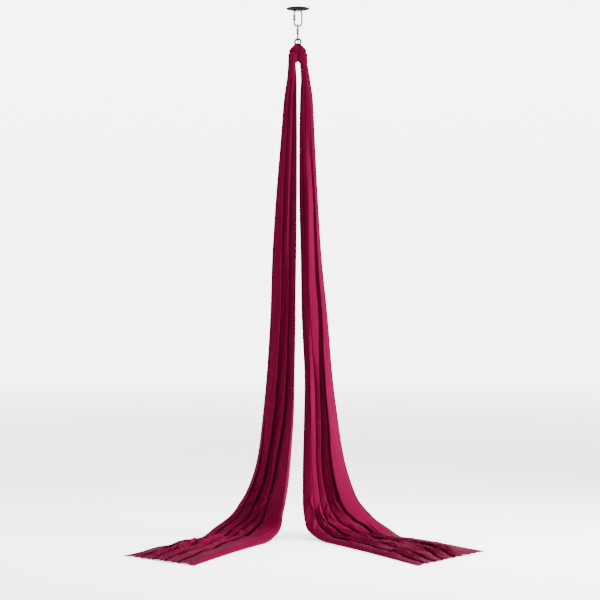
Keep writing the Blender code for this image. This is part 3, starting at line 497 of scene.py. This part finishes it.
def tail_points(tail, cloth_width, seed):
    """A tail's points, row by row, and each one's place on the flat cloth."""
    rows = tail_frame(tail)
    inner, outer, depth = rows[:, :3], rows[:, 3:6], rows[:, 6]
    lowest = depth / 2 - HANG_HEIGHT
    inner[:, 2], outer[:, 2] = np.maximum(inner[:, 2], lowest), np.maximum(outer[:, 2], lowest)
    centre = (inner + outer) / 2
    run = np.gradient(centre, axis=0)
    run[0] = (0.0, 0.0, -1.0)
    across = unit(outer - inner)
    width = np.linalg.norm(outer - inner, axis=1)
    front = -tail["side"] * unit(np.cross(outer - inner, run))
    spots = np.concatenate([[0.0], np.linalg.norm(np.diff(centre, axis=0), axis=1).cumsum()])
    length = spots[-1]
    spots = spots / length
    floor = np.clip((lowest + SETTLE_HEIGHT - centre[:, 2]) / SETTLE_HEIGHT, 0.0, 1.0) ** 2

    unrest = np.clip(spots / CALM_SHARE, 0.0, 1.0)[:, None] * (1 + FLOOR_UNREST * floor[:, None])
    panels = eased(spots, STATIONS, tail["panels"]).reshape(-1, PANELS, 3)
    panels[..., 0] *= np.exp(wobble(spots, PANELS, seed, WIDTH_WOBBLE) * unrest)
    panels[..., 0] /= panels[..., 0].sum(axis=1, keepdims=True)
    panels[..., 1] += wobble(spots, PANELS, seed + 1, DEPTH_WOBBLE) * unrest
    panels[..., 2] += wobble(spots, PANELS, seed + 2, DEPTH_WOBBLE) * unrest
    panels[..., 1:] = np.clip(panels[..., 1:], DEEPEST_PANEL, 1.0)
    aside, ahead = folded(width, depth, floor, panels, RIM_SHARE + FLOOR_RIM_SHARE * floor, cloth_width)

    points = centre[:, None] + across[:, None] * aside[..., None] + front[:, None] * ahead[..., None]
    cloth_across, cloth_down = cloth_places(points)
    facing = np.clip(2 * ahead / depth[:, None] + FACING_SHARE, 0.0, 1.0)
    lift = creased(tail, spots, length, aside / width[:, None] + 0.5, width, seed + 3)
    points += front[:, None] * (lift * facing)[..., None]
    ending = np.clip((spots - HEM_START) / (1 - HEM_START), 0.0, 1.0)[:, None] ** 2
    scallop = HEM_WAVE * np.sin(cloth_across * HEM_WAVE_RATE + seed) + HEM_STEP * ahead / depth[:, None]
    points += unit(run)[:, None] * (ending * scallop)[..., None]
    ground = -HANG_HEIGHT + FLOOR_CLEARANCE
    points[..., 2] = ground + np.maximum(points[..., 2] - ground, 0.0) * (1 - HEM_SINK * ending)
    return points, cloth_across, cloth_down


def hitch_rows():
    """The hitch from the right strand's end to the left one's: place, thin half and wide half of the band."""
    angle = math.radians(SHOULDER_ANGLE)
    outward = Vector((math.cos(angle), 0.0, math.sin(angle)))
    along = Vector((math.sin(angle), 0.0, -math.cos(angle)))
    right, back, down = Vector((1.0, 0.0, 0.0)), Vector((0.0, 1.0, 0.0)), Vector((0.0, 0.0, -1.0))
    thin, wide, bight = BAND_THICKNESS / 2, BAND_WIDTH / 2, BIGHT_WIDTH / 2
    centre = Vector((0.0, 0.0, LARGE_RING_Z))
    shoulder = outward * LARGE_RING_RADIUS
    wrap = LARGE_RING_STOCK + WRAP_CLEARANCE + thin
    half = []
    for aside, ahead, drop, width, depth, turn in STRAND_ROWS:
        deep = back * math.cos(math.radians(turn)) + down * math.sin(math.radians(turn))
        half.append((right * aside - back * ahead + down * drop, right * (width / 2), deep * (depth / 2)))
    corner_side = (outward - back * CORNER_LEAN).normalized()
    corner_face = (back * CORNER_FACE_LEAN - outward).normalized()
    corner = shoulder.lerp(-down * BIGHT_RISE, 0.5) + corner_side * wrap + outward * CORNER_FULLNESS
    bow = back * -(SMALL_RING_STOCK + CLEARANCE + thin) - down * BIGHT_RISE
    half += [
        (shoulder + (back - outward).normalized() * wrap, (outward - back).normalized() * thin, along * wide),
        (shoulder + back * wrap, back * -thin, along * wide),
        (shoulder + outward * wrap, outward * -thin, along * wide),
        (corner, corner_face * thin, (along + down).normalized() * ((wide + bight) / 2)),
        (bow, back * thin, down * bight),
    ]
    flip = np.tile((-1.0, 1.0, 1.0), 3)
    rows = np.array([[*(centre + place), *thin_half, *wide_half] for place, thin_half, wide_half in half])
    return np.vstack([rows, (rows[:-1] * flip)[::-1]])


def hitch_points(cloth_width):
    """The hitch's points, row by row, and each one's place on the flat cloth."""
    rows = hitch_rows()
    steps = HITCH_STEPS
    rows = smooth_rows(rows, [steps] * (len(rows) - 1))
    centre, thin, wide = rows[:, :3], rows[:, 3:6], rows[:, 6:]
    none = np.zeros(len(rows))
    panels = np.tile(np.array(ROUNDED), (len(rows), 1, 1))
    panels[..., 0] /= PANELS
    width, depth = 2 * np.linalg.norm(thin, axis=1), 2 * np.linalg.norm(wide, axis=1)
    aside, ahead = folded(width, depth, none, panels, none + RIM_SHARE, cloth_width)
    points = centre[:, None] + unit(thin)[:, None] * aside[..., None] - unit(wide)[:, None] * ahead[..., None]
    spots = np.linspace(0.0, 1.0, len(rows))
    rise = np.clip(np.minimum(spots, 1 - spots) / RIDGE_RISE_SHARE, 0.0, 1.0)
    broad = np.sin(ahead * BROAD_RIDGE_RATE + RIDGE_SWAY * np.sin(spots * RIDGE_SWAY_RATE)[:, None])
    fine = np.sin(ahead * FINE_RIDGE_RATE + spots[:, None] * FINE_RIDGE_DRIFT)
    ridge = broad + FINE_RIDGE_SHARE * fine
    points += unit(thin)[:, None] * (RIDGE_HEIGHT * rise[:, None] * ridge)[..., None]
    cloth_across, cloth_down = cloth_places(points)
    return points, cloth_across, cloth_down


class Wire:
    """An output socket of a material, with arithmetic that adds Math nodes behind it."""

    def __init__(self, shade, socket):
        self.shade = shade
        self.socket = socket

    def math(self, operation, *values):
        sockets = dict(zip(("Value", "Value_001"), values))
        return self.shade.node("ShaderNodeMath", {"operation": operation}, sockets)

    def __add__(self, other):
        return self.math("ADD", self, other)

    def __radd__(self, other):
        return self.math("ADD", other, self)

    def __sub__(self, other):
        return self.math("SUBTRACT", self, other)

    def __rsub__(self, other):
        return self.math("SUBTRACT", other, self)

    def __mul__(self, other):
        return self.math("MULTIPLY", self, other)

    def __rmul__(self, other):
        return self.math("MULTIPLY", other, self)

    def __truediv__(self, other):
        return self.math("DIVIDE", self, other)

    def __rtruediv__(self, other):
        return self.math("DIVIDE", other, self)

    def __pow__(self, other):
        return self.math("POWER", self, other)

    def sine(self):
        return self.math("SINE", self)

    def clamped(self):
        return self.math("MINIMUM", self.math("MAXIMUM", self, 0.0), 1.0)

    def between(self, low, high):
        """0 below low, 1 above high and a straight slope between."""
        return ((self - low) / (high - low)).clamped()


class Shade:
    """One procedural material: its nodes, and the Principled shader that they feed."""

    def __init__(self, name, constants):
        self.material = bpy.data.materials.new(name)
        self.material.use_nodes = True
        self.tree = self.material.node_tree
        self.surface = self.tree.nodes["Principled BSDF"]
        for socket, value in constants.items():
            self.surface.inputs[socket].default_value = value

    def node(self, kind, settings, sockets, output=0):
        made = self.tree.nodes.new(kind)
        for name, value in settings.items():
            setattr(made, name, value)
        inputs = {socket.identifier: socket for socket in made.inputs}
        for name, value in sockets.items():
            if isinstance(value, Wire):
                self.tree.links.new(value.socket, inputs[name])
            else:
                inputs[name].default_value = value
        return Wire(self, made.outputs[output])

    def feed(self, socket, wire):
        self.tree.links.new(wire.socket, self.surface.inputs[socket])

    def mix(self, factor, first, second):
        colours = {
            name: value if isinstance(value, Wire) else (*value, 1.0)
            for name, value in (("A_Color", first), ("B_Color", second))
        }
        sockets = {"Factor_Float": factor, **colours}
        return self.node("ShaderNodeMix", {"data_type": "RGBA"}, sockets, output=2)

    def object_place(self):
        return self.node("ShaderNodeTexCoord", {}, {}, output=3)

    def cloth_place(self):
        return self.node("ShaderNodeUVMap", {"uv_map": "cloth"}, {})

    def stretched(self, place, sizes):
        sockets = {"Vector": place, "Vector_001": sizes}
        return self.node("ShaderNodeVectorMath", {"operation": "MULTIPLY"}, sockets)

    def noise(self, place, scale, detail, roughness=0.5):
        sockets = {"Vector": place, "Scale": scale, "Detail": detail, "Roughness": roughness}
        return self.node("ShaderNodeTexNoise", {}, sockets)

    def bump(self, height, distance, strength, **links):
        sockets = {"Height": height, "Distance": distance, "Strength": strength, **links}
        return self.node("ShaderNodeBump", {}, sockets)

    def parts(self, place):
        split = self.node("ShaderNodeSeparateXYZ", {}, {"Vector": place})
        return [Wire(self, socket) for socket in split.socket.node.outputs]


def darker(colour, share):
    return tuple(channel * share for channel in colour)


def lighter(colour, share):
    return tuple(channel + (1 - channel) * share for channel in colour)


def silk_material(look):
    """Nylon tricot: fine ribs down the cloth, long streaks in its dye, soft creases and rubbed patches."""
    wine = tuple(look.wine)
    shade = Shade("silk_tricot", {
        "Sheen Weight": look.sheen,
        "Sheen Roughness": 0.40,
        "Sheen Tint": (*lighter(wine, 0.10), 1.0),
        "Specular IOR Level": look.gloss,
        "IOR": 1.48,
    })
    place = shade.cloth_place()
    across, down, _ = shade.parts(place)
    streaks = shade.noise(shade.stretched(place, (55.0, 1.6, 1.0)), scale=1.0, detail=3.0, roughness=0.55)
    cloud = shade.noise(place, scale=3.2, detail=2.0)
    rubbed = shade.noise(place, scale=9.0, detail=4.0, roughness=0.6).between(0.60, 0.72)
    ribs = (across * RIB_RATE).sine()
    courses = (down * COURSE_RATE + (across * (RIB_RATE / 2)).sine()).sine()
    creases = shade.noise(shade.stretched(place, (30.0, 9.0, 1.0)), scale=1.0, detail=4.0, roughness=0.55)
    selvedge = ((across * across) / (look.cloth_width * look.cloth_width / 4.0)).between(0.965, 0.985)
    colour = shade.mix(streaks.between(0.35, 0.68), darker(wine, 0.84), darker(wine, 1.12))
    colour = shade.mix(cloud.between(0.4, 0.75) * 0.35, colour, darker(wine, 0.75))
    colour = shade.mix(rubbed * 0.2, colour, lighter(wine, 0.012))
    colour = shade.mix(selvedge * 0.4, colour, darker(wine, 0.6))
    shade.feed("Base Color", colour)
    shade.feed("Roughness", 0.72 + streaks * 0.12 + rubbed * 0.10)
    knit = shade.bump(ribs * 0.6 + courses * 0.4, KNIT_HEIGHT, strength=0.5)
    shade.feed("Normal", shade.bump(creases, SOFT_CREASE_HEIGHT, strength=0.55, Normal=knit))
    return shade.material


def steel_material(name, colour, look, roughness):
    """Plated steel: a tint that wanders from blue to violet, fine brushing, scratches and dulled patches."""
    shade = Shade(name, {"Metallic": 1.0, "Specular Tint": (*lighter(colour, 0.10), 1.0)})
    place = shade.object_place()
    tint = shade.noise(place, scale=60.0, detail=2.0).between(0.35, 0.65)
    brushed = shade.noise(shade.stretched(place, (900.0, 900.0, 60.0)), scale=1.0, detail=2.0)
    thin = shade.stretched(place, (260.0, 260.0, 1400.0))
    scratched = shade.noise(thin, scale=1.0, detail=3.0, roughness=0.7).between(0.60, 0.66)
    dulled = shade.noise(place, scale=140.0, detail=4.0, roughness=0.65).between(0.52, 0.66)
    base = shade.mix(tint, colour, (colour[0] * 1.04, colour[1] * 0.86, colour[2] * 1.22))
    base = shade.mix(dulled * look.wear, base, darker(colour, 0.55))
    shade.feed("Base Color", shade.mix(scratched * look.wear, base, lighter(colour, 0.35)))
    shade.feed("Roughness", roughness + brushed * 0.10 + dulled * 0.16)
    shade.feed("Normal", shade.bump(brushed + scratched * -1.2, BRUSH_HEIGHT, strength=0.6))
    return shade.material


def coated_material(name, colour, bare, look, roughness, grain):
    """A black coat on metal: fine grain, dusty patches, and rubbed spots where the metal begins to show."""
    shade = Shade(name, {"Specular IOR Level": 0.004})
    place = shade.object_place()
    fine = shade.noise(place, scale=grain, detail=2.0)
    dusty = shade.noise(place, scale=38.0, detail=4.0, roughness=0.6).between(0.45, 0.75)
    specks = shade.noise(place, scale=95.0, detail=5.0, roughness=0.7)
    patches = shade.noise(place, scale=21.0, detail=1.0)
    worn = (specks + patches * 0.5).between(0.86, 0.93) * look.wear
    base = shade.mix(dusty * 0.3, colour, lighter(colour, 0.008))
    shade.feed("Base Color", shade.mix(worn, base, bare))
    shade.feed("Roughness", roughness + dusty * 0.14 - worn * 0.1)
    shade.feed("Metallic", worn * 0.8)
    shade.feed("Normal", shade.bump(fine, COAT_GRAIN_HEIGHT, strength=0.5))
    return shade.material


def floor_material(look):
    """Plain pale paper that glows behind the silks, less where the lights already fall on the floor."""
    shade = Shade("studio_floor", {"Specular IOR Level": 0.1, "Emission Strength": look.glow})
    place = shade.object_place()
    aside, away, _ = shade.parts(place)
    cloud = shade.noise(place, scale=0.6, detail=2.0)
    colour = tuple(look.floor)
    shade.feed("Base Color", shade.mix(cloud * 0.4, colour, darker(colour, 0.985)))
    shade.feed("Roughness", 0.85 + cloud * 0.1)
    behind = look.front_share + (1 - look.front_share) * away.between(*GLOW_BACKWARD)
    far = ((aside * aside + away * away) ** 0.5).between(*GLOW_OUTWARD)
    share = behind * (look.floor_share + (1 - look.floor_share) * far)
    shade.feed("Emission Color", shade.mix(share, (0.0, 0.0, 0.0), colour))
    return shade.material


def finish_nodes(material, names):
    """Gives CAD pieces a finish; one that the frame lacks stops the operator."""
    for name in names:
        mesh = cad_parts[name].data
        mesh.materials.clear()
        mesh.materials.append(material)


def carabiner_nodes(*pieces):
    return [prefix + piece for prefix in ("upper_", "lower_") for piece in pieces]


class SilkLook(PropertyGroup):
    cloth_width: FloatProperty(
        name="Cloth width", description="Width of the flat silk before it is gathered", default=1.5, min=1.0,
        max=2.0, unit="LENGTH",
    )
    tail_length: FloatProperty(
        name="Tail length", description="Length of each tail from the hitch to its hem", default=3.93,
        min=3.5, max=4.5, unit="LENGTH",
    )
    hitch_length: FloatProperty(
        name="Hitch length", description="Length of cloth taken up by the hitch", default=0.34, min=0.2,
        max=0.8, unit="LENGTH",
    )
    wine: FloatVectorProperty(
        name="Silk colour", description="Dye of the silk", default=(0.050, 0.0010, 0.0102), subtype="COLOR",
        min=0.0, max=1.0,
    )
    sheen: FloatProperty(
        name="Sheen", description="Soft glow of the knit at grazing angles", default=0.05, min=0.0, max=1.0,
        subtype="FACTOR",
    )
    gloss: FloatProperty(
        name="Gloss", description="Strength of the silk's reflections", default=0.004, min=0.0, max=1.0,
        subtype="FACTOR",
    )


class MetalLook(PropertyGroup):
    steel: FloatVectorProperty(
        name="Steel", description="Tint of the plated steel", default=(0.038, 0.035, 0.050), subtype="COLOR",
        min=0.0, max=1.0,
    )
    coat: FloatVectorProperty(
        name="Black coat", description="Colour of the coated plate and ring", default=(0.004, 0.003, 0.005),
        subtype="COLOR", min=0.0, max=1.0,
    )
    wear: FloatProperty(
        name="Wear", description="How much scratches and rubbed spots show", default=0.5, min=0.0, max=1.0,
        subtype="FACTOR",
    )


class StageLook(PropertyGroup):
    floor: FloatVectorProperty(
        name="Floor", description="Colour of the studio floor and wall", default=(0.93, 0.93, 0.93),
        subtype="COLOR", min=0.0, max=1.0,
    )
    glow: FloatProperty(
        name="Glow", description="Light that the wall behind the silks gives by itself", default=3.6, min=0.0,
        max=9.0,
    )
    floor_share: FloatProperty(
        name="Floor share", description="The near floor's glow as a share of the wall's", default=0.3,
        min=0.0, max=1.0, subtype="FACTOR",
    )
    front_share: FloatProperty(
        name="Front share", description="The glow in front of the silks as a share of that behind them",
        default=0.2, min=0.0, max=1.0, subtype="FACTOR",
    )
    key: FloatProperty(
        name="Key light", description="Power of the soft light at the right", default=760.0, min=0.0,
        unit="POWER",
    )
    rim: FloatProperty(
        name="Rim light", description="Power of the soft light at the left", default=30.0, min=0.0,
        unit="POWER",
    )
    top: FloatProperty(
        name="Top light", description="Power of the soft light overhead", default=330.0, min=0.0,
        unit="POWER",
    )
    surround: FloatProperty(
        name="Surround", description="Brightness of the sky over the studio", default=0.5, min=0.0, max=5.0,
    )


class SILKS_OT_plate(Operator):
    """Finish the ceiling plate"""

    bl_idname = "silks.plate"
    bl_label = "Ceiling Plate"

    def execute(self, context):
        look = context.scene.metal_look
        bare = (0.05, 0.045, 0.055)
        coat = coated_material("powder_coat", tuple(look.coat), bare, look, roughness=0.65, grain=900.0)
        finish_nodes(coat, ["ceiling_plate"])
        return {"FINISHED"}


class SILKS_OT_carabiners(Operator):
    """Finish the hanger eye, both carabiners and their gates"""

    bl_idname = "silks.carabiners"
    bl_label = "Eye and Carabiners"

    def execute(self, context):
        look = context.scene.metal_look
        steel = tuple(look.steel)
        plated = steel_material("plated_steel", steel, look, roughness=0.20)
        finish_nodes(plated, ["hanger_eye", *carabiner_nodes("carabiner_body", "gate")])
        violet = (steel[0] * 0.62, steel[1] * 0.50, steel[2] * 0.95)
        sleeve = steel_material("violet_sleeve", violet, look, roughness=0.26)
        finish_nodes(sleeve, carabiner_nodes("gate_sleeve"))
        pins = steel_material("pin_steel", lighter(steel, 0.12), look, roughness=0.30)
        finish_nodes(pins, carabiner_nodes("gate_rivet", "gate_latch_pin", "gate_spring", "gate_plunger"))
        return {"FINISHED"}


class SILKS_OT_figure_eight(Operator):
    """Finish the figure-eight"""

    bl_idname = "silks.figure_eight"
    bl_label = "Figure-Eight"

    def execute(self, context):
        look = context.scene.metal_look
        bare = (0.10, 0.10, 0.11)
        coat = coated_material("black_anodised", tuple(look.coat), bare, look, roughness=0.32, grain=1500.0)
        finish_nodes(coat, ["figure_eight"])
        return {"FINISHED"}


class SILKS_OT_silk(Operator):
    """Fold the silk: its hitch round the figure-eight and both tails"""

    bl_idname = "silks.silk"
    bl_label = "Silk"

    def execute(self, context):
        look = context.scene.silk_look
        silk = silk_material(look)
        hitch = sheet_mesh("hitch_cloth", *hitch_points(look.cloth_width))
        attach(hitch, "figure_eight_body")
        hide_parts("silk_hitch")
        self.declare(hitch, silk, look.cloth_width, look.hitch_length, "gathered", ["figure_eight"])
        for name, tail, seed in (("left", LEFT, 11), ("right", RIGHT, 29)):
            cloth = sheet_mesh(name + "_tail_cloth", *tail_points(tail, look.cloth_width, seed))
            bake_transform(cloth)
            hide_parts("silk_" + name + "_tail")
            self.declare(cloth, silk, look.cloth_width, look.tail_length, "hung", [])
        return {"FINISHED"}

    def declare(self, cloth, silk, width, length, held, rests_on):
        cloth.data.materials.append(silk)


def backdrop_mesh():
    """A round floor that curves up into a wall on all sides, so that it looks the same from everywhere."""
    middle, wall, top, bend = 1.0, 32.0, 18.0, 8.0
    sides, steps = 72, 12
    profile = [(middle, -HANG_HEIGHT)]
    for step in range(steps + 1):
        angle = math.pi / 2 * step / steps
        profile.append((wall - bend + math.sin(angle) * bend, -HANG_HEIGHT + bend - math.cos(angle) * bend))
    profile.append((wall, top))
    angles = [math.tau * side / sides for side in range(sides)]
    vertices = [
        (radius * math.cos(angle), radius * math.sin(angle), z) for radius, z in profile for angle in angles
    ]
    faces = [tuple(range(sides))]
    for ring in range(0, (len(profile) - 1) * sides, sides):
        for side in range(sides):
            after = (side + 1) % sides
            faces.append((ring + after, ring + side, ring + sides + side, ring + sides + after))
    mesh = bpy.data.meshes.new("studio_floor")
    mesh.from_pydata(vertices, [], faces)
    mesh.shade_smooth()
    return mesh


def add_light(name, place, aim, size, power, spread):
    """An area light whose beam is spread degrees wide, and which the camera doesn't see."""
    lamp = bpy.data.lights.new(name, "AREA")
    lamp.shape = "RECTANGLE"
    lamp.size, lamp.size_y = size
    lamp.energy = power
    lamp.spread = math.radians(spread)
    obj = bpy.data.objects.new(name, lamp)
    obj.location = place
    obj.rotation_euler = (Vector(aim) - Vector(place)).to_track_quat("-Z", "Y").to_euler()
    obj.visible_camera = False
    bpy.context.scene.collection.objects.link(obj)


class SILKS_OT_stage(Operator):
    """Put up the studio: floor, lights and the camera at the photo's place"""

    bl_idname = "silks.stage"
    bl_label = "Studio"

    def execute(self, context):
        look = context.scene.stage_look
        floor = bpy.data.objects.new("studio_floor", backdrop_mesh())
        floor.data.materials.append(floor_material(look))
        context.scene.collection.objects.link(floor)
        for name, (place, aim, size, spread) in LIGHTS.items():
            add_light(name, place, aim, size, getattr(look, name), spread)
        world = bpy.data.worlds.new("studio")
        world.use_nodes = True
        back = world.node_tree.nodes["Background"]
        back.inputs["Color"].default_value = (1.0, 1.0, 1.0, 1.0)
        back.inputs["Strength"].default_value = look.surround
        context.scene.world = world
        lens = bpy.data.cameras.new("camera")
        lens.lens = CAMERA_LENS
        lens.sensor_width = CAMERA_SENSOR
        lens.clip_end = CAMERA_REACH
        camera = bpy.data.objects.new("camera", lens)
        camera.location = CAMERA_PLACE
        camera.rotation_euler = (math.pi / 2, 0.0, 0.0)
        context.scene.collection.objects.link(camera)
        context.scene.camera = camera
        return {"FINISHED"}


class SILKS_PT_panel(Panel):
    """Sizes and colours of the silks, and a button for each step"""

    bl_label = "Aerial Silks"
    bl_idname = "SILKS_PT_panel"
    bl_space_type = "VIEW_3D"
    bl_region_type = "UI"
    bl_category = "Silks"

    def draw(self, context):
        scene = context.scene
        for group, names, steps in PANEL_ROWS:
            box = self.layout.box()
            for name in names:
                box.prop(getattr(scene, group), name)
            for kind in steps:
                box.operator(kind.bl_idname)


PANEL_ROWS = (
    ("silk_look", ("cloth_width", "tail_length", "hitch_length", "wine", "sheen", "gloss"), (SILKS_OT_silk,)),
    ("metal_look", ("steel", "coat", "wear"), (SILKS_OT_plate, SILKS_OT_carabiners, SILKS_OT_figure_eight)),
    (
        "stage_look",
        ("floor", "glow", "floor_share", "front_share", "key", "rim", "top", "surround"),
        (SILKS_OT_stage,),
    ),
)
LOOKS = {"silk_look": SilkLook, "metal_look": MetalLook, "stage_look": StageLook}
STEPS = (SILKS_OT_plate, SILKS_OT_carabiners, SILKS_OT_figure_eight, SILKS_OT_silk, SILKS_OT_stage)
CLASSES = (*LOOKS.values(), *STEPS, SILKS_PT_panel)


def register():
    for kind in CLASSES:
        bpy.utils.register_class(kind)
    for name, kind in LOOKS.items():
        setattr(bpy.types.Scene, name, PointerProperty(type=kind))


def unregister():
    for name in LOOKS:
        delattr(bpy.types.Scene, name)
    for kind in reversed(CLASSES):
        bpy.utils.unregister_class(kind)


def main():
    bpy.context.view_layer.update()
    register()
    bpy.ops.silks.plate()
    bpy.ops.silks.carabiners()
    bpy.ops.silks.figure_eight()
    bpy.ops.silks.silk()
    bpy.ops.silks.stage()


if __name__ == "__main__":
    main()
